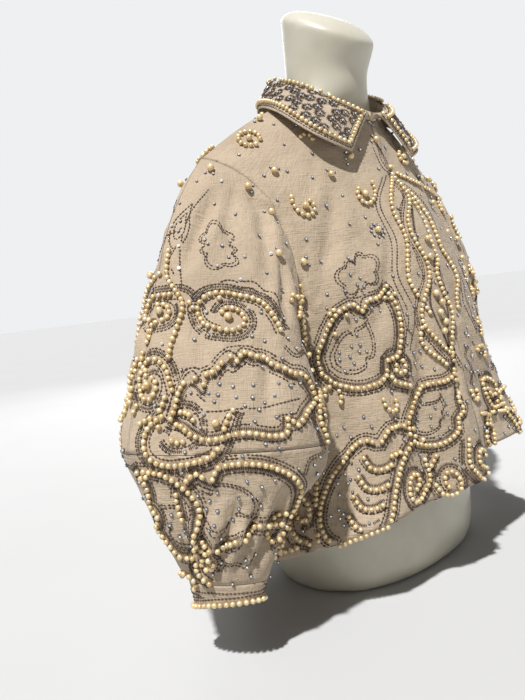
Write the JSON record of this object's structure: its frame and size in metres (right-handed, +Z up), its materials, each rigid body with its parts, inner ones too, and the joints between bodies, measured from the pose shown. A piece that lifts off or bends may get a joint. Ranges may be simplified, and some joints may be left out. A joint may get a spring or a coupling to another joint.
{
  "type": "beaded jacket on a dress form",
  "caption": "Cropped linen jacket with wide gathered sleeves and a turned-down collar, embroidered with pearl beads in paisley curls, on a plain limbless dress form with a flat base.",
  "frame": {"origin": "on the flat base of the dress form, near its middle", "axes": "+Z up, the jacket's front faces -Y, the wearer's left is +X"},
  "size_m": [0.7846, 0.3314, 0.7348],
  "materials": {
    "linen": "matte",
    "collar_linen": "matte",
    "cream_plastic": "satin"
  },
  "bodies": {
    "root": {"front_right": "linen", "front_left": "linen", "back_right": "linen", "back_left": "linen", "upper_sleeve_front_right": "linen", "upper_sleeve_back_right": "linen", "lower_sleeve_right": "linen", "cuff_right": "linen", "upper_sleeve_front_left": "linen", "upper_sleeve_back_left": "linen", "lower_sleeve_left": "linen", "cuff_left": "linen", "collar_stand": "collar_linen", "collar_fall": "collar_linen", "dress_form": "cream_plastic"}
  },
  "joints": []
}
